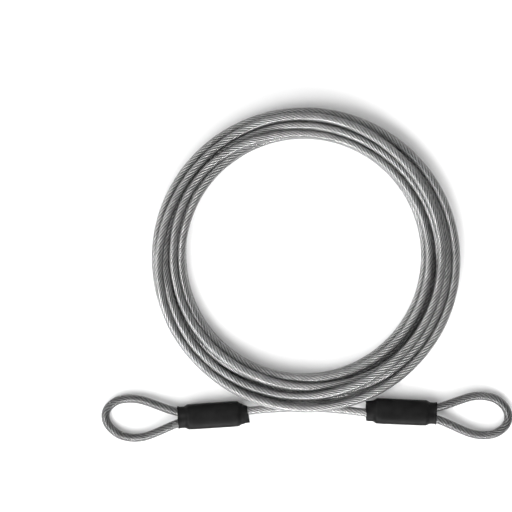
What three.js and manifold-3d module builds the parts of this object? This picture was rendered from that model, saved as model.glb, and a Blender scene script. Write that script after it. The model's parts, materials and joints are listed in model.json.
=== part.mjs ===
// Looped-end security cable: a coiled, clear-jacketed wire rope with an eye at each end.
// Each eye is closed by a double-bore ferrule under a black shrink sleeve.
// Millimetres, +Z up. The coil and both sleeves lie on the plane z = 0. The origin is the middle of the
// footprint, so the coil's centre stands a little to the +Y side of it.

import * as THREE from 'three';
import { mergeVertices } from 'three/addons/utils/BufferGeometryUtils.js';
import Module from 'manifold-3d';

// Cable: six outer strands laid right-handed round a core strand, in a clear jacket
const cableDiameter = 9.5;
const cableRadius = cableDiameter / 2;
const strandDiameter = 1.8;
const strandCount = 6;
const strandCentreRadius = 2.2;
const strandLay = 36;
const jacketBoreRadius = 3.45;
const jacketLegRadius = 4.6;

// Coil: the outer shape of nine turns, two to three layers deep
const coilCentre = new THREE.Vector3(0, 17.4, 0);
const coilOuterRadius = 174.8;
const coilInnerRadius = 130.5;
const coilHeight = 26;
const coilEdgeRound = 7;
const coilSides = 60;

// Sleeve and ferrule, measured along (a), across (w) and up from the sleeve's middle
const sleeveLength = 80;
const sleeveStraight = 55;
const sleeveWidth = 29.2;
const sleeveThickness = 18;
const sleeveRamp = 6.5;
const sleeveStep = 2.6;
const loopCollarWidth = 25.4;
const tailCollarWidth = 22.6;
const sleeveWall = 1.1;
const sleeveHeight = sleeveThickness / 2;
const ferruleLength = 54;
const ferruleClearance = 0.35;
const ferruleBevel = 1.5;
const ferruleBoreRadius = 4.95;
const legOffset = 5.2;
const touchGap = 0.3;

// Eye loop: its centreline from the ferrule's outer face, as distance along and half spread across
const loopHalf = [
  [27.3, 5.2], [33.5, 5.4], [40, 6.5], [46, 8.3], [53, 10.9], [60, 13.7], [67, 16.5], [74, 19.1],
  [81, 21.1], [91, 22.3], [100, 21.6], [107, 19.8], [112.5, 16.6], [118, 11.6], [121.5, 5.6], [122.4, 0],
];
const loopDrop = 4.15;

// Each end: where its sleeve lies from the coil's centre, which way it points, and its live leg's side.
// The left tail runs in along the ground plane. The right one comes down from the coil's second layer.
const ends = [
  {
    side: 'left',
    sleeve: [-106.7, -178.9],
    heading: 183.7,
    loopLean: -5.7,
    liveSide: -1,
    tail: [[-66.9, -173.6, 8.6], [-60, -173.2, 7.7], [-55, -172.8, 6.9], [-48, -172.3, 5.9],
      [-40, -171.8, 5.1], [-30, -171.4, 4.8]],
  },
  {
    side: 'right',
    sleeve: [106.9, -175],
    heading: -2.4,
    loopLean: -1.6,
    liveSide: -1,
    tail: [[67, -175.9, 8.8], [60, -175.1, 8.9], [55, -174.5, 9.2], [48, -173.6, 10],
      [40, -172.6, 11.1], [30, -171.8, 12.4]],
  },
];
const liftPivotFromCentre = 55;

const wasm = await Module();
wasm.setup();

function material(color, roughness, metalness, extra = {}) {
  return new THREE.MeshStandardMaterial({ color, roughness, metalness, ...extra });
}

const steelFinish = () => material(0xb9bcbf, 0.3, 1);
const cableFinish = () => material(0xa6a9ac, 0.18, 0.75);
const jacketFinish = () => material(0xdfe4e6, 0.1, 0, { transparent: true, opacity: 0.35 });
const ferruleFinish = () => material(0xc4c6c8, 0.4, 1);
const sleeveFinish = () => material(0x1b1b1d, 0.5, 0);

// Closed solids in and out of the boolean library
function toSolid(geometry) {
  const bare = geometry.clone();
  bare.deleteAttribute('normal');
  bare.deleteAttribute('uv');
  const merged = mergeVertices(bare, 1e-4);
  const vertProperties = new Float32Array(merged.attributes.position.array);
  const triVerts = new Uint32Array(merged.index.array);
  return new wasm.Manifold(new wasm.Mesh({ numProp: 3, vertProperties, triVerts }));
}

function fromSolid(solid) {
  const { vertProperties, triVerts } = solid.getMesh();
  const geometry = new THREE.BufferGeometry();
  geometry.setAttribute('position', new THREE.BufferAttribute(new Float32Array(vertProperties), 3));
  geometry.setIndex(new THREE.BufferAttribute(new Uint32Array(triVerts), 1));
  geometry.computeVertexNormals();
  return geometry;
}

function circleShape(radius, sides, turned = 0) {
  const points = [];
  for (let i = 0; i < sides; i += 1) {
    const angle = turned + (2 * Math.PI * i) / sides;
    points.push(new THREE.Vector2(radius * Math.cos(angle), radius * Math.sin(angle)));
  }
  return new THREE.Shape(points);
}

// A plain round solid along a curve, closed at both ends
function tube(points, radius, sides, steps) {
  const path = new THREE.CatmullRomCurve3(points, false, 'centripetal');
  const section = circleShape(radius, sides, Math.PI / sides);
  return new THREE.ExtrudeGeometry(section, { steps, bevelEnabled: false, extrudePath: path });
}

// A shape drawn across and up, extruded along the sleeve's axis about its middle
function alongAxis(shape, length, bevel = {}) {
  const geometry = new THREE.ExtrudeGeometry(shape, { depth: length, curveSegments: 4, ...bevel });
  geometry.translate(0, 0, -length / 2);
  geometry.rotateX(Math.PI / 2);
  geometry.rotateZ(Math.PI / 2);
  return geometry;
}

// A flat-topped, flat-bottomed oval: the pressed section of a ferrule or of the sleeve shrunk over it
function pressedOval(width, thickness, corner) {
  const halfWidth = width / 2;
  const halfThickness = thickness / 2;
  const shape = new THREE.Shape();
  shape.moveTo(-halfWidth + corner, -halfThickness);
  shape.lineTo(halfWidth - corner, -halfThickness);
  shape.quadraticCurveTo(halfWidth, -halfThickness, halfWidth, 0);
  shape.quadraticCurveTo(halfWidth, halfThickness, halfWidth - corner, halfThickness);
  shape.lineTo(-halfWidth + corner, halfThickness);
  shape.quadraticCurveTo(-halfWidth, halfThickness, -halfWidth, 0);
  shape.quadraticCurveTo(-halfWidth, -halfThickness, -halfWidth + corner, -halfThickness);
  return shape;
}

// Coil: a ring with a flat underside and rounded edges
function coilGeometry() {
  const middle = (coilOuterRadius + coilInnerRadius) / 2;
  const halfWidth = (coilOuterRadius - coilInnerRadius) / 2;
  const r = coilEdgeRound;
  const outline = new THREE.Path();
  outline.moveTo(middle - halfWidth + r * 0.6, 0);
  outline.lineTo(middle + halfWidth - r * 0.6, 0);
  outline.quadraticCurveTo(middle + halfWidth, 0, middle + halfWidth, r);
  outline.lineTo(middle + halfWidth, coilHeight * 0.5);
  outline.quadraticCurveTo(middle + halfWidth, coilHeight, middle + r, coilHeight);
  outline.lineTo(middle - r, coilHeight);
  outline.quadraticCurveTo(middle - halfWidth, coilHeight, middle - halfWidth, coilHeight * 0.5);
  outline.lineTo(middle - halfWidth, r);
  outline.quadraticCurveTo(middle - halfWidth, 0, middle - halfWidth + r * 0.6, 0);
  const points = outline.getPoints(3);
  const geometry = new THREE.LatheGeometry(points, coilSides);
  geometry.rotateX(Math.PI / 2);
  geometry.translate(coilCentre.x, coilCentre.y, 0);
  return geometry;
}

// The space that the coil and the gap round it take, to cut a tail that runs out beside it
function coilClearance() {
  const wall = new THREE.CylinderGeometry(
    coilOuterRadius + touchGap, coilOuterRadius + touchGap, coilHeight * 2, coilSides * 2,
  );
  wall.rotateX(Math.PI / 2);
  wall.translate(coilCentre.x, coilCentre.y, 0);
  return toSolid(wall);
}

// Sleeve: a full-width body ramping down to a collar at each end, open right through
function sleeveGeometry() {
  const collarThickness = sleeveThickness - 2 * sleeveStep;
  const collar = (width, wall) => pressedOval(width - 2 * wall, collarThickness - 2 * wall, 8 - wall);
  const ramped = (wall) => alongAxis(collar(sleeveWidth - 2 * sleeveStep, wall), sleeveStraight, {
    bevelEnabled: true, bevelThickness: sleeveRamp, bevelSize: sleeveStep, bevelSegments: 2,
  });
  const half = (width, wall, direction, extra) => {
    const geometry = alongAxis(collar(width, wall), sleeveLength / 2 + extra, { bevelEnabled: false });
    return geometry.translate(direction * (sleeveLength / 4 + extra / 2), 0, 0);
  };
  const outer = toSolid(ramped(0))
    .add(toSolid(half(loopCollarWidth, 0, 1, 0)))
    .add(toSolid(half(tailCollarWidth, 0, -1, 0)));
  return fromSolid(outer
    .subtract(toSolid(ramped(sleeveWall)))
    .subtract(toSolid(half(loopCollarWidth, sleeveWall, 1, 2)))
    .subtract(toSolid(half(tailCollarWidth, sleeveWall, -1, 2))));
}

// Ferrule: a pressed aluminium oval with one bore for the live leg and one for the dead end
function ferruleGeometry() {
  const inset = 2 * (sleeveWall + ferruleClearance + ferruleBevel);
  const outline = pressedOval(sleeveWidth - inset, sleeveThickness - inset, 8.2);
  const geometry = alongAxis(outline, ferruleLength - 2 * ferruleBevel, {
    bevelEnabled: true, bevelThickness: ferruleBevel, bevelSize: ferruleBevel, bevelSegments: 1,
  });
  let solid = toSolid(geometry);
  for (const across of [-legOffset, legOffset]) {
    const drill = new THREE.CylinderGeometry(ferruleBoreRadius, ferruleBoreRadius, ferruleLength + 4, 20);
    drill.rotateZ(Math.PI / 2);
    drill.translate(0, across, 0);
    solid = solid.subtract(toSolid(drill));
  }
  return fromSolid(solid);
}

// Jacket of one leg inside the ferrule: a clear tube round the strands
function legJacketGeometry() {
  const section = circleShape(jacketLegRadius, 16);
  section.holes.push(circleShape(jacketBoreRadius, 16));
  return alongAxis(section, ferruleLength, { bevelEnabled: false });
}

function coreStrandGeometry() {
  return alongAxis(circleShape(strandDiameter / 2, 8), ferruleLength, { bevelEnabled: false });
}

function outerStrandGeometry(index) {
  const steps = 12;
  const points = [];
  for (let i = 0; i <= steps; i += 1) {
    const along = ferruleLength * (i / steps - 0.5);
    const angle = 2 * Math.PI * (along / strandLay + index / strandCount);
    points.push(new THREE.Vector3(
      along, strandCentreRadius * Math.cos(angle), strandCentreRadius * Math.sin(angle),
    ));
  }
  return tube(points, strandDiameter / 2, 6, steps);
}

// Eye loop: a teardrop of cable that leans a little to one side and whose tip sinks to the ground plane
function loopGeometry(lean) {
  const start = loopHalf[0][0];
  const tip = loopHalf[loopHalf.length - 1][0];
  const place = (along, across) => {
    const out = Math.max(0, along - sleeveLength / 2) / (tip - sleeveLength / 2);
    return new THREE.Vector3(
      along, across + lean * out * out, -loopDrop * THREE.MathUtils.smootherstep(along, start, tip),
    );
  };
  const there = loopHalf.map(([along, across]) => place(along, across));
  const back = loopHalf.slice(0, -1).reverse().map(([along, across]) => place(along, -across));
  return tube([...there, ...back], cableRadius, 10, 40);
}

function addMesh(parent, name, geometry, finish) {
  const mesh = new THREE.Mesh(geometry, finish);
  mesh.name = name;
  parent.add(mesh);
}

// One leg in the ferrule: jacket, core strand and six outer strands
function addLeg(parent, name, across) {
  const leg = new THREE.Group();
  leg.position.y = across;
  addMesh(leg, `${name}_jacket`, legJacketGeometry(), jacketFinish());
  addMesh(leg, `${name}_core_strand`, coreStrandGeometry(), steelFinish());
  for (let i = 0; i < strandCount; i += 1) {
    addMesh(leg, `${name}_strand_${i + 1}`, outerStrandGeometry(i), steelFinish());
  }
  parent.add(leg);
}

// Everything that turns with one eye, built along +X from the sleeve's middle
function addEye(parent, end) {
  const eye = new THREE.Group();
  eye.position.set(coilCentre.x + end.sleeve[0], coilCentre.y + end.sleeve[1], sleeveHeight);
  eye.rotation.z = THREE.MathUtils.degToRad(end.heading);
  addMesh(eye, `${end.side}_sleeve`, sleeveGeometry(), sleeveFinish());
  addMesh(eye, `${end.side}_ferrule`, ferruleGeometry(), ferruleFinish());
  addMesh(eye, `${end.side}_eye_loop`, loopGeometry(end.loopLean), cableFinish());
  addLeg(eye, `${end.side}_live_leg`, end.liveSide * legOffset);
  addLeg(eye, `${end.side}_dead_end`, -end.liveSide * legOffset);
  parent.add(eye);
}

// A point given along and across from a sleeve's middle, as a place in the whole object
function fromSleeve(end, along, across) {
  const turn = THREE.MathUtils.degToRad(end.heading);
  return new THREE.Vector3(
    coilCentre.x + end.sleeve[0] + along * Math.cos(turn) - across * Math.sin(turn),
    coilCentre.y + end.sleeve[1] + along * Math.sin(turn) + across * Math.cos(turn),
    sleeveHeight,
  );
}

// The tail from the ferrule's inner face to the coil, in two stretches that meet at the lift pivot
function addTail(parent, end, clearance) {
  const face = -ferruleLength / 2;
  const atFerrule = fromSleeve(end, face - touchGap, end.liveSide * legOffset);
  const straightOut = fromSleeve(end, face - 3, end.liveSide * legOffset);
  const inCollar = fromSleeve(end, face - 8, end.liveSide * legOffset * 0.8);
  const outside = end.tail.map(([x, y, z]) => new THREE.Vector3(coilCentre.x + x, coilCentre.y + y, z));
  const split = end.tail.findIndex(([x]) => Math.abs(x) === liftPivotFromCentre);
  const outerPoints = [atFerrule, straightOut, inCollar, ...outside.slice(0, split + 1)];
  const innerPoints = outside.slice(split);
  const towardCoil = innerPoints[1].clone().sub(innerPoints[0]).setLength(touchGap);
  innerPoints[0] = innerPoints[0].clone().add(towardCoil);
  addMesh(parent, `${end.side}_tail_outer`, tube(outerPoints, cableRadius, 10, 5), cableFinish());
  const inner = toSolid(tube(innerPoints, cableRadius, 10, 4)).subtract(clearance);
  addMesh(parent, `${end.side}_tail_inner`, fromSolid(inner), cableFinish());
}

const cable = new THREE.Group();
addMesh(cable, 'cable_coil', coilGeometry(), cableFinish());
const clearance = coilClearance();
for (const end of ends) {
  addEye(cable, end);
  addTail(cable, end, clearance);
}

export default cable;
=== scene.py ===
"""Looks of a looped-end security cable: a coiled, clear-jacketed wire rope with an eye at each end.

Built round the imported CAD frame. Everything is in metres, in the frame's own axes.
"""

import json
import math

import bpy
import numpy as np
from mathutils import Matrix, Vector


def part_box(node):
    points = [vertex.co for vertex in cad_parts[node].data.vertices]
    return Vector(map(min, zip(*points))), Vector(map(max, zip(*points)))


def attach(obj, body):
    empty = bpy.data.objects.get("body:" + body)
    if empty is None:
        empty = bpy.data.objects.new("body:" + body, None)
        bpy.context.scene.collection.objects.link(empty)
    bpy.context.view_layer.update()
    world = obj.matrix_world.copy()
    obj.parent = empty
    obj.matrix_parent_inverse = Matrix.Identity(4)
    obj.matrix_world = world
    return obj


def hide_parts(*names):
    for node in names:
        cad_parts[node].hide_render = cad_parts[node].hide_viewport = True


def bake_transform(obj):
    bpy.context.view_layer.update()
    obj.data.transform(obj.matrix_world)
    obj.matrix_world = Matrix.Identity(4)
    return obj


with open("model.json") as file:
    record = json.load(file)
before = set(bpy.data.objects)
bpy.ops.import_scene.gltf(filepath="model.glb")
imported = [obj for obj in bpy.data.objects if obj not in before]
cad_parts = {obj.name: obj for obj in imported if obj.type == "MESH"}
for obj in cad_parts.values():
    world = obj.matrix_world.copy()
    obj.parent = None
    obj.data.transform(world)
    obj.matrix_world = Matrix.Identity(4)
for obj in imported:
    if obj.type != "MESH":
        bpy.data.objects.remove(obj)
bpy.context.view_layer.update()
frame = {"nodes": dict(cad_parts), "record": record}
MM = 0.001

# Cable
CABLE_RADIUS = 4.75 * MM
JACKET_SIDES = 24
STRANDS = 6
STRAND_SIDES = 8
STRAND_LAY = 35 * MM
STRAND_RADIUS = 1.08 * MM
STRAND_CENTRE_RADIUS = 2.2 * MM
CORE_SIDES = 6
CORE_RADIUS = 1.1 * MM
CURVE_STEPS = 12  # points between two of a curve's own points
STRAND_STEP = 1.5 * MM
JACKET_STRIDE = 2
WIRES_IN_STRAND = 6
WIRE_LAY = 14 * MM

# Coil: its place comes from the CAD ring. Angles run anticlockwise from six o'clock, seen from above.
ring_low, ring_high = (np.array(corner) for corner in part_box("cable_coil"))
COIL_CENTRE = np.array([(ring_low[0] + ring_high[0]) / 2, (ring_low[1] + ring_high[1]) / 2, 0])
INNER_EDGE = 133.3 * MM
INNER_SHIFT = 4.1 * MM
INNER_SHIFT_AT = math.radians(65)
OUTER_EDGE = 173.8 * MM
OUTER_SHIFT = 2.6 * MM
OUTER_SHIFT_AT = math.radians(330)
OUTER_OVAL = 1.3 * MM
OUTER_OVAL_AT = math.radians(75)

# How the turns are laid. These are in turns, where no unit is named.
COIL_TURNS = 9
STATIONS_PER_TURN = 90
TAIL_STATIONS = 5  # stations beyond each end of the coil, on the tail
TAIL_ANGLE = 0.17  # radians from the coil's end to where the tail starts
TAIL_RADIUS = 174 * MM
TAIL_EASE = 0.3  # radians
FIRST_WRAP = 0.8
FIRST_WRAP_EASE = 0.2
LAST_WRAP = 7.5
LAST_WRAP_EASE = 0.4
DESCENT_EARLY = 0.2
DESCENT_PAST_END = 0.1
TURN_RISE = 5.5 * MM
WANDERS_PER_TURN = 0.6
WANDER_MARGIN = 0.8  # diameters inside the outermost turn
OVER_TAILS_AT = 0.05  # radians past the start of the last turn
OVER_TAILS_WIDTH = 0.35  # radians
COIL_SEED = 1

# How the turns settle: shares of a move made in one step
SETTLING_STEPS = 3000
SINKING = 0.08 * MM
SINKING_LEAST = 0.3
DRIFTING = 0.01
OVER_TAILS_PULL = 0.2
STIFFENING = 0.2
SIDEWAYS_WAVE = 14  # stations
UPWARD_WAVE = 10  # stations
PARTING_PASSES = 4
PARTING = 0.45
PARTING_DISTANCE = 1.004  # diameters
NEARLY_ZERO = 1e-9

# Sleeves and ferrules, measured along (a), across (w) and up (h) from a sleeve's middle
SLEEVE_HALF = 40 * MM
SLEEVE_HEIGHT = 9 * MM
FERRULE_HALF = 27 * MM
LEG_OFFSET = 5.2 * MM
FACE_GAP = 0.3 * MM
NECK_STRAIGHT = 3 * MM
NECK_TURNED = 8 * MM
NECK_TURNED_SHARE = 0.8

# Eye loop centreline, as distance along and half spread across
LOOP_HALF = np.array([
    (27.3, 5.2), (33.5, 5.4), (40, 6.5), (46, 8.3), (53, 10.9), (60, 13.7), (67, 16.5), (74, 19.1),
    (81, 21.1), (91, 22.3), (100, 21.6), (107, 19.8), (112.5, 16.6), (118, 11.6), (121.5, 5.6), (122.4, 0),
]) * MM
LOOP_DROP = 4.15 * MM

# Each end. The tail's points run from the sleeve's mouth to the coil, from the coil's centre.
# The mouth is its half width, its shift across and how far it is cut askew, in mm.
ENDS = {
    "left": {
        "heading": math.radians(183.7),
        "lean": -5.7 * MM,
        "mouth": (9.8, 1.2, 1.3),
        "tail": np.array([(-66.9, -173.6, 8.6), (-60, -173.2, 7.7), (-55, -172.8, 6.9),
                          (-48, -172.3, 5.9), (-40, -171.8, 5.1), (-30, -171.4, 4.8)]) * MM,
    },
    "right": {
        "heading": math.radians(-2.4),
        "lean": -1.6 * MM,
        "mouth": (11.2, -0.6, 0.6),
        "tail": np.array([(67, -175.9, 8.8), (60, -175.1, 8.9), (55, -174.5, 9.2),
                          (48, -173.6, 10), (40, -172.6, 11.1), (30, -171.8, 12.4)]) * MM,
    },
}
LIVE_SIDE = -1
SWING_PIVOT = 30 * MM
SWING_REACH = 14 * MM
UNDER_COIL = 22 * MM
MOUNTS = {m["name"]: np.array(m["pos_m"]) for m in frame["record"]["mounts"]}

# Sleeve surface, in mm
SLEEVE_ROWS = 121
SLEEVE_AROUND = 96
SLEEVE_WALL = 1.1
SLEEVE_END = 40
PLEATS = ((0.10, 11, 0.6), (0.07, 17, 2.0))  # depth, number round, phase
PLEATS_AT, PLEATS_WIDTH = 31, 3.5
RIPPLE_DEPTH = 0.05
RIPPLE_PER_MM = 0.9  # radians
RIPPLE_SWAY = 3  # radians
RIPPLE_AT, RIPPLE_WIDTH = 33, 6
WAIST_WIDTH = 3.2
MOUTH_FROM = 29
MOUTH_PRESSED = 0.62
PRESSED_FROM, PRESSED_OVER = -1.5, 9  # across
RAGGED_FROM = 38
RAGGED = ((0.22, 5, 1), (0.12, 13, 0))  # depth, number round, phase

# Studio
CAMERA_HEIGHT = 2.4
CAMERA_SENSOR = 36
VIEW_SHIFT = np.array([-58, 2, 0]) * MM
VIEW_WIDTH = 0.5837
FLOOR_HALF = 6.0
FLOOR_DROP = 0.0002
SKY_STRENGTH = 0.55
LAMPS = (  # name, place, width, height, power
    ("key", (-1.15, -1.15, 1.6), 2.2, 1.4, 58),
    ("front", (0.3, -1.9, 1.1), 2.0, 0.8, 54),
    ("fill", (1.1, 1.5, 1.3), 1.2, 0.8, 4),
)


# ---------------------------------------------------------------- camera
def make_camera():
    """Looks straight down, as the photo does."""
    view_centre = COIL_CENTRE + VIEW_SHIFT
    data = bpy.data.cameras.new("camera")
    data.sensor_width = CAMERA_SENSOR
    data.lens = data.sensor_width * CAMERA_HEIGHT / VIEW_WIDTH
    camera = bpy.data.objects.new("camera", data)
    camera.location = (view_centre[0], view_centre[1], CAMERA_HEIGHT)
    bpy.context.collection.objects.link(camera)
    bpy.context.scene.camera = camera


# ---------------------------------------------------------------- curves
def catmull_rom(points, per_span):
    """A smooth curve through the points, with centripetal spacing."""
    padded = np.vstack([2 * points[0] - points[1], points, 2 * points[-1] - points[-2]])
    steps = np.sqrt(np.linalg.norm(np.diff(padded, axis=0), axis=1))
    p0, p1, p2, p3 = padded[:-3], padded[1:-2], padded[2:-1], padded[3:]
    d0, d1, d2 = (steps[i:len(steps) - 2 + i, None] for i in range(3))
    m1 = d1 * ((p1 - p0) / d0 - (p2 - p0) / (d0 + d1) + (p2 - p1) / d1)
    m2 = d1 * ((p2 - p1) / d1 - (p3 - p1) / (d1 + d2) + (p3 - p2) / d2)
    u = np.arange(per_span)[None, :, None] / per_span
    p1, p2, m1, m2 = (a[:, None, :] for a in (p1, p2, m1, m2))
    spans = ((2 * u**3 - 3 * u**2 + 1) * p1 + (u**3 - 2 * u**2 + u) * m1
             + (3 * u**2 - 2 * u**3) * p2 + (u**3 - u**2) * m2)
    return np.vstack([spans.reshape(-1, points.shape[1]), points[-1:]])


def arc_lengths(line):
    """How far along the line each of its points is."""
    return np.concatenate([[0], np.cumsum(np.linalg.norm(np.diff(line, axis=0), axis=1))])


def resample(line, spacing):
    """The line with its points evenly spaced."""
    along = arc_lengths(line)
    at = np.linspace(0, along[-1], max(2, round(along[-1] / spacing) + 1))
    return np.stack([np.interp(at, along, line[:, k]) for k in range(3)], axis=1)


def frames(line):
    """Tangent, normal and binormal at each point, turned as little as possible along the line."""
    tangent = np.gradient(line, axis=0)
    tangent /= np.linalg.norm(tangent, axis=1)[:, None]
    normal = np.empty_like(tangent)
    start = np.cross(tangent[0], (0, 0, 1))
    normal[0] = start / np.linalg.norm(start)
    for i in range(1, len(line)):
        turned = normal[i - 1] - tangent[i] * (normal[i - 1] @ tangent[i])
        normal[i] = turned / np.linalg.norm(turned)
    return tangent, normal, np.cross(tangent, normal)


# ---------------------------------------------------------------- the coil's lie
def ease(share):
    """Goes from 0 to 1 with a soft start and end."""
    share = np.clip(share, 0, 1)
    return share * share * (3 - 2 * share)


def stiffener(count, wavelength):
    """A matrix that irons out waves shorter than that many stations, as a stiff rope does."""
    bend = np.diff(np.eye(count), 2, axis=0)
    return np.linalg.inv(np.eye(count) + (wavelength / (2 * math.pi)) ** 4 * bend.T @ bend)


def wander(count, random):
    """A slow random drift between -1 and 1."""
    knots = random.uniform(-1, 1, int(COIL_TURNS * WANDERS_PER_TURN) + 4)
    at = np.linspace(0, len(knots) - 1, count)
    before = np.minimum(at.astype(int), len(knots) - 2)
    blend = ease(at - before)
    return knots[before] * (1 - blend) + knots[before + 1] * blend


def coil_envelope(angle):
    """Least and greatest radius of the cable's centre round the coil, which isn't quite round."""
    low = INNER_EDGE - INNER_SHIFT * np.cos(angle - INNER_SHIFT_AT)
    high = (OUTER_EDGE + OUTER_SHIFT * np.cos(angle - OUTER_SHIFT_AT)
            + OUTER_OVAL * np.cos(2 * (angle - OUTER_OVAL_AT)))
    return low + CABLE_RADIUS, high - CABLE_RADIUS


def pack_turns():
    """Radius and height of the cable at each station, after the turns settle on each other.

    Each station is a slice through the coil, so turns a whole lap apart lie in one slice. They start one
    above another, then are pulled down by their weight, pushed a diameter apart and smoothed by the rope's
    stiffness. Each is drawn towards a slowly wandering radius, which makes them cross at shallow angles.
    The first turn lies outermost on the floor. The last runs outermost on top of it and comes down only
    beyond the coil, towards its sleeve. The pass before it lies over both tails.
    """
    diameter = 2 * CABLE_RADIUS
    step = 2 * math.pi / STATIONS_PER_TURN
    count = COIL_TURNS * STATIONS_PER_TURN + 2 * TAIL_STATIONS + 1
    angle = (np.arange(count) - TAIL_STATIONS) * step
    turn = angle / (2 * math.pi)
    to_end = COIL_TURNS * 2 * math.pi - angle
    low, high = coil_envelope(angle)
    inner_high = high - WANDER_MARGIN * diameter
    wandering = wander(count, np.random.default_rng(COIL_SEED))
    drift = (low + inner_high) / 2 + wandering * (inner_high - low) / 2
    outermost = 1 - ease((turn - FIRST_WRAP) / FIRST_WRAP_EASE) + ease((turn - LAST_WRAP) / LAST_WRAP_EASE)
    target = drift * (1 - outermost) + high * outermost
    coming_down = ease((turn - LAST_WRAP + DESCENT_EARLY) / (COIL_TURNS + DESCENT_PAST_END - LAST_WRAP))
    piled = TURN_RISE * np.clip(turn, 0, None)
    height = CABLE_RADIUS + piled * (1 - coming_down) + diameter * coming_down

    # the cable's two ends start from the tails' own places, and those are held
    radius = target.copy()
    for from_tail in (angle + TAIL_ANGLE, to_end + TAIL_ANGLE):
        share = ease(from_tail / TAIL_EASE)
        radius = TAIL_RADIUS * (1 - share) + radius * share
    held = np.zeros(count, bool)
    for side, own_angle, here in (("left", angle, angle < -TAIL_ANGLE),
                                  ("right", -to_end, -to_end > TAIL_ANGLE)):
        tail = ENDS[side]["tail"]
        seen_at = np.arctan2(tail[:, 0], -tail[:, 1])
        order = np.argsort(seen_at)
        tail_radius = np.hypot(tail[:, 0], tail[:, 1])[order]
        radius[here] = np.interp(own_angle[here], seen_at[order], tail_radius)
        height[here] = np.interp(own_angle[here], seen_at[order], tail[order, 2])
        held |= here
    held_radius, held_height = radius[held].copy(), height[held].copy()
    past_coil = np.clip(-np.minimum(angle, to_end) / TAIL_ANGLE, 0, 1)
    limit = high + (TAIL_RADIUS - high) * past_coil**2
    from_crossing = angle - (COIL_TURNS - 1) * 2 * math.pi - OVER_TAILS_AT
    over_tails = np.exp(-(from_crossing / OVER_TAILS_WIDTH) ** 2)

    stiff_sideways, stiff_upwards = stiffener(count, SIDEWAYS_WAVE), stiffener(count, UPWARD_WAVE)
    laps = [STATIONS_PER_TURN * k for k in range(1, COIL_TURNS + 1)]
    for i in range(SETTLING_STEPS):
        cooling = 1 - i / SETTLING_STEPS
        height -= SINKING * (SINKING_LEAST + cooling)
        radius += (target - radius) * DRIFTING * cooling * ~held
        radius += (high - radius) * OVER_TAILS_PULL * over_tails
        radius += STIFFENING * (stiff_sideways @ radius - radius)
        height += STIFFENING * (stiff_upwards @ height - height)
        for _ in range(PARTING_PASSES):
            for lap in laps:
                before, after = slice(0, count - lap), slice(lap, count)
                dr, dh = radius[after] - radius[before], height[after] - height[before]
                apart = np.hypot(dr, dh)
                overlap = np.clip(diameter * PARTING_DISTANCE - apart, 0, None)
                push = PARTING * overlap / np.maximum(apart, NEARLY_ZERO)
                radius[before] -= dr * push
                height[before] -= dh * push
                radius[after] += dr * push
                height[after] += dh * push
            height = np.maximum(height, CABLE_RADIUS)
            radius = np.where(held, radius, np.clip(radius, low, limit))
            radius[held], height[held] = held_radius, held_height
    return angle, radius, height


# ---------------------------------------------------------------- the cable's centreline
def from_sleeve(side, along, across, up=0.0):
    """A point along, across and up from a sleeve's middle, in the frame."""
    middle = MOUNTS[f"{side}_sleeve_rest"]
    c, s = math.cos(ENDS[side]["heading"]), math.sin(ENDS[side]["heading"])
    x = middle[0] + along * c - across * s
    y = middle[1] + along * s + across * c
    return np.stack(np.broadcast_arrays(x, y, SLEEVE_HEIGHT + up), axis=-1)


def tail_points(side):
    """The tail from the ferrule's inner face to the coil, as the CAD has it."""
    across = LIVE_SIDE * LEG_OFFSET
    neck = [from_sleeve(side, -FERRULE_HALF - FACE_GAP, across),
            from_sleeve(side, -FERRULE_HALF - NECK_STRAIGHT, across),
            from_sleeve(side, -FERRULE_HALF - NECK_TURNED, across * NECK_TURNED_SHARE)]
    return np.vstack([neck, ENDS[side]["tail"] + COIL_CENTRE])


def cable_line():
    """The whole cable between the two ferrules' inner faces, finely and evenly spaced."""
    angle, radius, height = pack_turns()
    free = (angle > -TAIL_ANGLE) & (angle < COIL_TURNS * 2 * math.pi + TAIL_ANGLE)
    turns = np.stack([radius * np.sin(angle), -radius * np.cos(angle), height], axis=1)
    line = np.vstack([tail_points("left"), turns[free] + COIL_CENTRE, tail_points("right")[::-1]])
    line = resample(catmull_rom(line, CURVE_STEPS), STRAND_STEP)
    line[:, 2] = np.maximum(line[:, 2], CABLE_RADIUS)
    return line


def loop_line(side):
    """The eye loop from the live leg's outer face to the dead end's."""
    start, tip, lean = LOOP_HALF[0, 0], LOOP_HALF[-1, 0], ENDS[side]["lean"]

    def place(along, across):
        share = np.clip((along - start) / (tip - start), 0, 1)
        sink = share**3 * (share * (6 * share - 15) + 10)
        out = np.clip((along - SLEEVE_HALF) / (tip - SLEEVE_HALF), 0, None)
        return from_sleeve(side, along, across + lean * out**2, -LOOP_DROP * sink)

    there = place(LOOP_HALF[:, 0], LIVE_SIDE * LOOP_HALF[:, 1])
    back = place(LOOP_HALF[-2::-1, 0], -LIVE_SIDE * LOOP_HALF[-2::-1, 1])
    return resample(catmull_rom(np.vstack([there, back]), CURVE_STEPS), STRAND_STEP)


# ---------------------------------------------------------------- meshes
def mesh_object(name, points, faces, uv=None, smooth=True):
    """An object. Its four-cornered faces are shaded smoothly, and its end caps flat."""
    mesh = bpy.data.meshes.new(name)
    mesh.from_pydata([tuple(p) for p in points], [], [tuple(f) for f in faces])
    if uv is not None:
        layer = mesh.uv_layers.new(name="along_and_round")
        layer.data.foreach_set("uv", np.asarray(uv, np.float32).ravel())
    if smooth:
        corners = np.array([len(face) for face in faces])
        mesh.polygons.foreach_set("use_smooth", corners == 4)
        # a flat cap's edges are sharp, so that it doesn't tilt the shading of the smooth side next to it
        for cap in np.flatnonzero(corners != 4):
            for corner in mesh.polygons[int(cap)].loop_indices:
                mesh.edges[mesh.loops[corner].edge_index].use_edge_sharp = True
    mesh.update()
    obj = bpy.data.objects.new(name, mesh)
    bpy.context.collection.objects.link(obj)
    return obj


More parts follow.
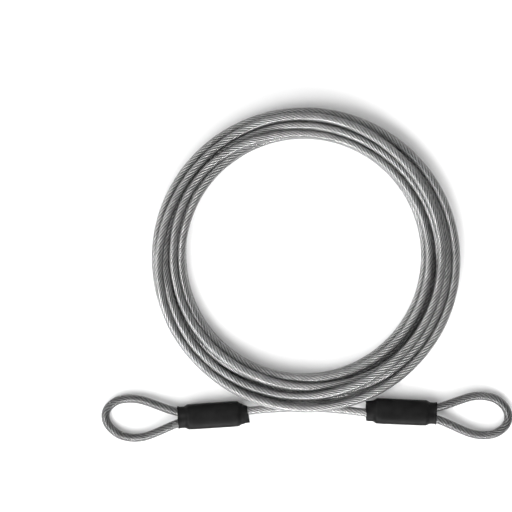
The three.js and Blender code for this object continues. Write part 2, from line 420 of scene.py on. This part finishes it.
def tube_mesh(centres, first_axes, second_axes, radius, sides, along, caps=True):
    """Points, faces and UVs of a tube whose rings lie in the plane of the two axes at each centre."""
    turn = 2 * math.pi * np.arange(sides) / sides
    rings = (centres[:, None, :] + radius * (np.cos(turn)[None, :, None] * first_axes[:, None, :]
                                             + np.sin(turn)[None, :, None] * second_axes[:, None, :]))
    count = len(centres)
    i, j = np.meshgrid(np.arange(count - 1), np.arange(sides), indexing="ij")
    i, j, k = i.ravel(), j.ravel(), (j.ravel() + 1) % sides
    faces = np.stack([i * sides + j, i * sides + k, (i + 1) * sides + k, (i + 1) * sides + j], axis=1)
    around = np.stack([j, j + 1, j + 1, j], axis=1) / sides
    distance = np.stack([along[i], along[i], along[i + 1], along[i + 1]], axis=1)
    uv = np.stack([distance, around], axis=2).reshape(-1, 2)
    faces = faces.tolist()
    if caps:
        first = list(range(sides))[::-1]
        last = [(count - 1) * sides + s for s in range(sides)]
        faces += [first, last]
        uv = np.vstack([uv, np.zeros((2 * sides, 2))])
    return rings.reshape(-1, 3), faces, uv


def jacket_rings(count):
    """Which of a line's points carry the jacket's rings: every second one, and the last."""
    return np.append(np.arange(0, count - 1, JACKET_STRIDE), count - 1)


def make_jacket(name, line, axes, along, finish):
    """The vinyl round the strands. It is open at its ends, where the next stretch runs on."""
    at = jacket_rings(len(line))
    points, faces, uv = tube_mesh(line[at], axes[1][at], axes[2][at], CABLE_RADIUS, JACKET_SIDES,
                                  along[at], caps=False)
    obj = mesh_object(name, points, faces, uv)
    obj.data.materials.append(MATERIALS[finish])
    return obj


def make_strand(name, line, axes, along, index):
    """One outer strand: a tube on a right-hand helix round the cable's line."""
    angle = 2 * math.pi * (along / STRAND_LAY + index / STRANDS)
    cos, sin = np.cos(angle)[:, None], np.sin(angle)[:, None]
    radial = cos * axes[1] + sin * axes[2]
    centres = line + STRAND_CENTRE_RADIUS * radial
    forward = axes[0] + STRAND_CENTRE_RADIUS * 2 * math.pi / STRAND_LAY * (cos * axes[2] - sin * axes[1])
    side = np.cross(forward, radial)
    side /= np.linalg.norm(side, axis=1)[:, None]
    points, faces, uv = tube_mesh(centres, radial, side, STRAND_RADIUS, STRAND_SIDES, along)
    obj = mesh_object(name, points, faces, uv)
    obj.data.materials.append(MATERIALS["strand_steel"])
    return obj


def make_core(name, line, axes, along):
    """The straight strand in the middle."""
    points, faces, uv = tube_mesh(line, axes[1], axes[2], CORE_RADIUS, CORE_SIDES, along)
    obj = mesh_object(name, points, faces, uv)
    obj.data.materials.append(MATERIALS["strand_steel"])
    return obj


def make_cable(name, line, axes, along, finish="clear_vinyl"):
    """A stretch of cable: its jacket first, then its seven strands."""
    parts = [make_jacket(f"{name}_jacket", line, axes, along, finish),
             make_core(f"{name}_core_strand", line, axes, along)]
    for index in range(STRANDS):
        parts.append(make_strand(f"{name}_strand_{index + 1}", line, axes, along, index))
    return parts


# ---------------------------------------------------------------- sleeves, in mm
def smooth_table(table, at):
    """The table's columns at those places, smoothly joined with no overshoot."""
    places = table[:, 0]
    i = np.clip(np.searchsorted(places, at, side="right") - 1, 0, len(places) - 2)
    u = ease((at - places[i]) / (places[i + 1] - places[i]))
    return [table[i, k] * (1 - u) + table[i + 1, k] * u for k in range(1, table.shape[1])]


def waves(turn, table):
    """Waves round a sleeve, added up from their depths, numbers and phases."""
    return sum(depth * np.sin(number * turn + phase) for depth, number, phase in table)


def near_steps(a, at, width):
    """1 where the sleeve steps down from the ferrule, fading to 0 over that width, in a column."""
    return np.exp(-((np.abs(a) - at) / width) ** 2)[:, None]


def sleeve_surface(side, inward):
    """One skin of a shrink sleeve, in a grid of rows along and points around, in the sleeve's own axes."""
    mouth_half, mouth_shift, cut = ENDS[side]["mouth"]
    # along, half width, half thickness, squareness, sideways shift, waist between the two legs
    table = np.array([
        (-40.0, mouth_half, 5.9, 2.0, mouth_shift, 0.0),
        (-36.5, mouth_half + 0.6, 6.0, 2.1, mouth_shift * 0.8, 0.0),
        (-32.5, 11.9, 6.6, 2.2, mouth_shift * 0.3, 0.0),
        (-27.5, 14.4, 8.8, 2.7, 0.0, 0.0),
        (-22.0, 14.6, 9.0, 2.9, 0.0, 0.0),
        (22.0, 14.6, 9.0, 2.9, 0.0, 0.0),
        (27.5, 14.4, 8.8, 2.7, 0.0, 0.0),
        (33.0, 12.3, 6.5, 2.5, 0.0, 0.06),
        (37.0, 12.2, 6.1, 2.4, 0.0, 0.12),
        (40.0, 12.9, 6.4, 2.4, 0.0, 0.12),
    ])
    a = np.linspace(-SLEEVE_END, SLEEVE_END, SLEEVE_ROWS)
    half_width, half_thick, square, shift, waist = smooth_table(table, a)
    t = 2 * math.pi * np.arange(SLEEVE_AROUND) / SLEEVE_AROUND
    power = 2 / square[:, None]
    across = np.sign(np.cos(t)) * np.abs(np.cos(t))[None, :] ** power
    up = np.sign(np.sin(t)) * np.abs(np.sin(t))[None, :] ** power
    # the plastic draws into small pleats where it steps down from the ferrule
    pleat = near_steps(a, PLEATS_AT, PLEATS_WIDTH) * waves(t, PLEATS)
    ripple_phase = a[:, None] * RIPPLE_PER_MM + RIPPLE_SWAY * np.sin(2 * t)
    ripple = RIPPLE_DEPTH * np.sin(ripple_phase) * near_steps(a, RIPPLE_AT, RIPPLE_WIDTH)
    grow = pleat + ripple - inward
    w = (half_width[:, None] + grow) * across + shift[:, None]
    h = (half_thick[:, None] + np.minimum(grow, 0.0)) * up
    h *= 1 - waist[:, None] * np.exp(-(w / WAIST_WIDTH) ** 2)
    # at the tail's mouth the half away from the cable is pressed flatter and cut askew
    mouth = np.clip((-a - MOUTH_FROM) / (SLEEVE_END - MOUTH_FROM), 0, 1)[:, None] ** 2
    away = np.clip((w - PRESSED_FROM) / PRESSED_OVER, 0, 1)
    h *= 1 - MOUTH_PRESSED * mouth * away
    along = a[:, None] - mouth * cut * (w - shift[:, None]) / half_width[:, None]
    at_end = np.clip((np.abs(a) - RAGGED_FROM) / (SLEEVE_END - RAGGED_FROM), 0, 1)[:, None]
    along = along + at_end * waves(t, RAGGED) * np.sign(a)[:, None]
    return along * MM, w * MM, h * MM


def make_sleeve(side):
    """A shrink sleeve with a wall: its outer and inner skin, joined at both mouths."""
    skins = [np.array(sleeve_surface(side, inward)) for inward in (0.0, SLEEVE_WALL)]
    points = np.vstack([from_sleeve(side, s[0].ravel(), s[1].ravel(), s[2].ravel()) for s in skins])
    inner = SLEEVE_ROWS * SLEEVE_AROUND
    faces = []
    for i in range(SLEEVE_ROWS - 1):
        for j in range(SLEEVE_AROUND):
            k = (j + 1) % SLEEVE_AROUND
            here, there = i * SLEEVE_AROUND, (i + 1) * SLEEVE_AROUND
            faces.append((here + j, there + j, there + k, here + k))
            faces.append((inner + here + j, inner + here + k, inner + there + k, inner + there + j))
    for start, flip in ((0, False), ((SLEEVE_ROWS - 1) * SLEEVE_AROUND, True)):
        for j in range(SLEEVE_AROUND):
            k = (j + 1) % SLEEVE_AROUND
            rim = (start + j, start + k, inner + start + k, inner + start + j)
            faces.append(rim[::-1] if flip else rim)
    obj = mesh_object(f"{side}_shrink_sleeve", points, faces)
    obj.data.materials.append(MATERIALS["black_shrink"])
    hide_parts(f"{side}_sleeve")
    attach(obj, f"{side}_eye")


# ---------------------------------------------------------------- materials
def new_material(name):
    """A material with a Principled shader. Gives the material, its node tree and the shader."""
    material = bpy.data.materials.new(name)
    material.use_nodes = True
    tree = material.node_tree
    tree.nodes.clear()
    output = tree.nodes.new("ShaderNodeOutputMaterial")
    shader = tree.nodes.new("ShaderNodeBsdfPrincipled")
    tree.links.new(shader.outputs[0], output.inputs["Surface"])
    return material, tree, shader


def maths(tree, operation, first, second=None):
    node = tree.nodes.new("ShaderNodeMath")
    node.operation = operation
    for socket, value in zip(node.inputs, (first, second)):
        if value is None:
            continue
        if isinstance(value, (int, float)):
            socket.default_value = value
        else:
            tree.links.new(value, socket)
    return node.outputs[0]


def noise(tree, scale, detail, stretch=None):
    """Noise fixed to the object, stretched along the axes where that is asked for."""
    node = tree.nodes.new("ShaderNodeTexNoise")
    node.inputs["Scale"].default_value = scale
    node.inputs["Detail"].default_value = detail
    vector = tree.nodes.new("ShaderNodeTexCoord").outputs["Object"]
    if stretch is not None:
        mapping = tree.nodes.new("ShaderNodeMapping")
        mapping.inputs["Scale"].default_value = stretch
        tree.links.new(vector, mapping.inputs["Vector"])
        vector = mapping.outputs["Vector"]
    tree.links.new(vector, node.inputs["Vector"])
    return node.outputs["Fac"]


def ramp(tree, value, low, high):
    """Greys between two stops, each a place on the ramp and its shade."""
    node = tree.nodes.new("ShaderNodeValToRGB")
    for element, (place, shade) in zip(node.color_ramp.elements, (low, high)):
        element.position = place
        element.color = (shade, shade, shade, 1)
    tree.links.new(value, node.inputs["Fac"])
    return node.outputs["Color"]


def multiply(tree, colour, by, factor):
    node = tree.nodes.new("ShaderNodeMix")
    node.data_type = "RGBA"
    node.blend_type = "MULTIPLY"
    node.inputs["Factor"].default_value = factor
    tree.links.new(colour, node.inputs["A"])
    tree.links.new(by, node.inputs["B"])
    return node.outputs["Result"]


def bump(tree, height, strength, distance, normal=None):
    node = tree.nodes.new("ShaderNodeBump")
    node.inputs["Strength"].default_value = strength
    node.inputs["Distance"].default_value = distance
    tree.links.new(height, node.inputs["Height"])
    if normal is not None:
        tree.links.new(normal, node.inputs["Normal"])
    return node.outputs["Normal"]


def strand_steel():
    """Galvanised steel strand, bright along its crest, with painted shade darkening its base colour down in
    the gaps towards the core.

    Six wires are laid left-handed round it. U runs along the strand in metres and V round it.
    """
    material, tree, shader = new_material("strand_steel")
    uv = tree.nodes.new("ShaderNodeUVMap")
    split = tree.nodes.new("ShaderNodeSeparateXYZ")
    tree.links.new(uv.outputs["UV"], split.inputs[0])
    along = maths(tree, "MULTIPLY", split.outputs["X"], -WIRES_IN_STRAND / WIRE_LAY)
    around = maths(tree, "MULTIPLY", split.outputs["Y"], float(WIRES_IN_STRAND))
    phase = maths(tree, "MULTIPLY", maths(tree, "ADD", along, around), math.pi)
    wires = maths(tree, "ABSOLUTE", maths(tree, "SINE", phase))
    crest = maths(tree, "ABSOLUTE", maths(tree, "SUBTRACT", split.outputs["Y"], 0.5))
    shade = ramp(tree, noise(tree, scale=120.0, detail=3.0), low=(0.3, 0.27), high=(0.7, 0.40))
    # painted shade: the base colour darkens in the grooves between the wires
    shade = multiply(tree, shade, ramp(tree, wires, low=(0.0, 0.35), high=(0.5, 1.0)), factor=0.35)
    # painted shade: the base colour darkens on the side towards the core, down in the gaps between the
    # strands
    shade = multiply(tree, shade, ramp(tree, crest, low=(0.22, 0.14), high=(0.40, 1.0)), factor=1.0)
    tree.links.new(shade, shader.inputs["Base Color"])
    shader.inputs["Metallic"].default_value = 1.0
    rough = ramp(tree, noise(tree, scale=700.0, detail=3.0), low=(0.3, 0.32), high=(0.7, 0.44))
    tree.links.new(rough, shader.inputs["Roughness"])
    tree.links.new(bump(tree, wires, strength=0.35, distance=0.00015), shader.inputs["Normal"])
    return material


def clear_vinyl(name, clearness, scuffed):
    """Clear flexible vinyl with a few faint scuffs. Lamps shine through it on to the strands inside."""
    material, tree, shader = new_material(name)
    shader.inputs["Base Color"].default_value = (clearness, clearness, clearness, 1)
    shader.inputs["Transmission Weight"].default_value = 1.0
    shader.inputs["IOR"].default_value = 1.5
    rough = ramp(tree, noise(tree, scale=90.0, detail=5.0), low=(0.45, scuffed[0]), high=(0.75, scuffed[1]))
    tree.links.new(rough, shader.inputs["Roughness"])
    uneven = noise(tree, scale=260.0, detail=2.0)
    tree.links.new(bump(tree, uneven, strength=0.03, distance=0.0002), shader.inputs["Normal"])
    clear = tree.nodes.new("ShaderNodeBsdfTransparent")
    clear.inputs["Color"].default_value = (clearness, clearness, clearness, 1)
    path = tree.nodes.new("ShaderNodeLightPath")
    mix = tree.nodes.new("ShaderNodeMixShader")
    tree.links.new(path.outputs["Is Shadow Ray"], mix.inputs[0])
    tree.links.new(shader.outputs[0], mix.inputs[1])
    tree.links.new(clear.outputs[0], mix.inputs[2])
    tree.links.new(mix.outputs[0], tree.nodes["Material Output"].inputs["Surface"])
    return material


def black_shrink():
    """Black shrink tube: satin, with faint draw lines along it and a fine matt grain."""
    material, tree, shader = new_material("black_shrink")
    cloudy = ramp(tree, noise(tree, scale=70.0, detail=4.0), low=(0.3, 0.003), high=(0.7, 0.007))
    tree.links.new(cloudy, shader.inputs["Base Color"])
    shader.inputs["Specular IOR Level"].default_value = 0.1
    rough = ramp(tree, noise(tree, scale=240.0, detail=4.0), low=(0.3, 0.38), high=(0.7, 0.55))
    tree.links.new(rough, shader.inputs["Roughness"])
    grain = noise(tree, scale=1500.0, detail=3.0)
    draw_lines = noise(tree, scale=600.0, detail=2.0, stretch=(0.06, 1.0, 1.0))
    normal = bump(tree, grain, strength=0.15, distance=0.0002)
    normal = bump(tree, draw_lines, strength=0.25, distance=0.0002, normal=normal)
    tree.links.new(normal, shader.inputs["Normal"])
    return material


def pressed_aluminium():
    """Swaged aluminium, dull, with fine die marks along it."""
    material, tree, shader = new_material("pressed_aluminium")
    cloudy = ramp(tree, noise(tree, scale=300.0, detail=4.0), low=(0.3, 0.55), high=(0.7, 0.72))
    tree.links.new(cloudy, shader.inputs["Base Color"])
    shader.inputs["Metallic"].default_value = 1.0
    marks = noise(tree, scale=900.0, detail=3.0, stretch=(0.08, 1.0, 1.0))
    tree.links.new(ramp(tree, marks, low=(0.3, 0.35), high=(0.7, 0.55)), shader.inputs["Roughness"])
    tree.links.new(bump(tree, marks, strength=0.3, distance=0.0002), shader.inputs["Normal"])
    return material


def pale_floor():
    """A matt white sweep, very slightly cloudy."""
    material, tree, shader = new_material("pale_floor")
    cloudy = ramp(tree, noise(tree, scale=3.0, detail=2.0), low=(0.3, 0.90), high=(0.7, 0.92))
    tree.links.new(cloudy, shader.inputs["Base Color"])
    shader.inputs["Roughness"].default_value = 0.9
    shader.inputs["Specular IOR Level"].default_value = 0.1
    return material


MATERIALS = {
    "strand_steel": strand_steel(),
    "clear_vinyl": clear_vinyl("clear_vinyl", clearness=0.93, scuffed=(0.02, 0.07)),
    # the eye loops' vinyl: rougher and hazier, and its darker tint is painted shade, standing in for the
    # loops taking less light than the coil
    "hazy_vinyl_painted_shade": clear_vinyl("hazy_vinyl_painted_shade", clearness=0.36, scuffed=(0.18, 0.32)),
    "black_shrink": black_shrink(),
    "pressed_aluminium": pressed_aluminium(),
}


# ---------------------------------------------------------------- the cable
def build_cable():
    """The cable between the ferrules, cut where the bodies that move it change."""
    line = cable_line()
    along = arc_lengths(line)
    axes = frames(line)
    x = line[:, 0] - COIL_CENTRE[0]
    neck_at = SWING_PIVOT + SWING_REACH
    left_outer = int(np.argmax(x > -neck_at))
    left_inner = int(np.argmax(x > UNDER_COIL))
    right_inner = len(x) - 1 - int(np.argmax(x[::-1] < -UNDER_COIL))
    right_outer = len(x) - 1 - int(np.argmax(x[::-1] < neck_at))

    def stretch(name, first, last):
        part = slice(first, last + 1)
        return make_cable(name, line[part], [a[part] for a in axes], along[part]), line[part]

    coil, coil_path = stretch("coil", left_inner, right_inner)
    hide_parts("cable_coil")
    for piece in coil:
        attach(piece, "coil")

    ends = (("left", -1, (left_outer, left_inner), (0, left_outer)),
            ("right", 1, (right_inner, right_outer), (right_outer, len(line) - 1)))
    for side, sign, inner, outer in ends:
        root, root_path = stretch(f"{side}_tail_root", *inner)
        neck, _ = stretch(f"{side}_tail_neck", *outer)
        for piece in root:
            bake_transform(piece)
        for piece in neck:
            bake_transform(piece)
        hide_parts(f"{side}_tail_inner")
        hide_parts(f"{side}_tail_outer")

    for side in ENDS:
        loop = loop_line(side)
        # the loops get the hazier vinyl, whose darker tint is painted shade
        pieces = make_cable(f"{side}_eye_loop_cable", loop, frames(loop), arc_lengths(loop),
                            finish="hazy_vinyl_painted_shade")
        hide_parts(f"{side}_eye_loop")
        for piece in pieces:
            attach(piece, f"{side}_eye")


def dress_cad_nodes():
    """Gives the CAD nodes that keep their CAD shape their finish."""
    for name, node in frame["nodes"].items():
        if name.endswith("ferrule"):
            finish = "pressed_aluminium"
        elif name.endswith("jacket"):
            finish = "clear_vinyl"
        elif "strand" in name:
            finish = "strand_steel"
        else:
            continue
        node.data.materials.clear()
        node.data.materials.append(MATERIALS[finish])


# ---------------------------------------------------------------- studio
def make_floor():
    corners = [(-FLOOR_HALF, -FLOOR_HALF, -FLOOR_DROP), (FLOOR_HALF, -FLOOR_HALF, -FLOOR_DROP),
               (FLOOR_HALF, FLOOR_HALF, -FLOOR_DROP), (-FLOOR_HALF, FLOOR_HALF, -FLOOR_DROP)]
    floor = mesh_object("floor", corners, [(0, 1, 2, 3)], smooth=False)
    floor.data.materials.append(pale_floor())


def area_light(name, place, width, height, power):
    """A soft box that points at the coil's middle."""
    data = bpy.data.lights.new(name, "AREA")
    data.shape = "RECTANGLE"
    data.size = width
    data.size_y = height
    data.energy = power
    light = bpy.data.objects.new(name, data)
    light.location = place
    light.rotation_euler = (-Vector(place)).to_track_quat("-Z", "Y").to_euler()
    bpy.context.collection.objects.link(light)


def make_studio():
    make_floor()
    for lamp in LAMPS:
        area_light(*lamp)
    world = bpy.data.worlds.new("studio")
    world.use_nodes = True
    background = world.node_tree.nodes["Background"]
    background.inputs["Color"].default_value = (1, 1, 1, 1)
    background.inputs["Strength"].default_value = SKY_STRENGTH
    bpy.context.scene.world = world
    bpy.context.scene.view_settings.view_transform = "Standard"


make_camera()
build_cable()
for end in ENDS:
    make_sleeve(end)
dress_cad_nodes()
make_studio()

bpy.context.view_layer.update()
